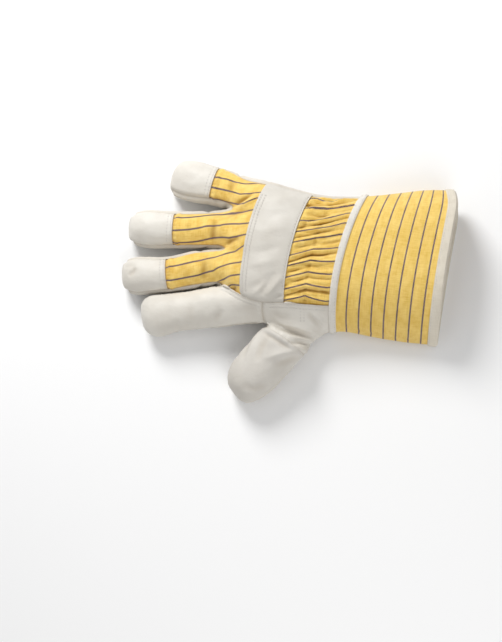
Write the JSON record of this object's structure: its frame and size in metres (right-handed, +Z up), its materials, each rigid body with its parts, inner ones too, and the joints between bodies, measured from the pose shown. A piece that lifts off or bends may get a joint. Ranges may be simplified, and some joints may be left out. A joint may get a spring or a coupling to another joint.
{
  "type": "gardening glove",
  "caption": "Right-hand leather and striped cotton work glove with a gathered back, a knuckle strap and a stiff wide cuff, lying palm down.",
  "frame": {"origin": "middle of the glove's box, on the floor that the palm rests on", "axes": "+X along the glove toward the cuff, the fingers along -X, +Y toward the little finger, +Z up through the back of the hand"},
  "size_m": [0.2796, 0.204, 0.0486],
  "materials": {
    "palm_leather": "pale split leather, matt and slightly creased",
    "back_leather": "pale grain leather, matt, double stitched",
    "striped_cotton": "yellow twill with thin dark stripes running toward the fingers",
    "striped_canvas": "stiffened yellow twill with thin dark stripes running round the cuff",
    "white_tape": "white woven tape, stitched",
    "edge_binding": "off-white woven binding, stitched"
  },
  "bodies": {
    "root": {"palm_leather": "palm_leather", "palm_patch": "palm_leather", "thumb_inner": "palm_leather", "thumb_outer": "back_leather", "side_panel": "back_leather", "index_back": "back_leather", "middle_tip": "back_leather", "ring_tip": "back_leather", "little_tip": "back_leather", "knuckle_strap": "back_leather", "back_cotton": "striped_cotton", "cuff": "striped_canvas", "wrist_welt": "white_tape", "cuff_binding": "edge_binding"}
  },
  "joints": []
}
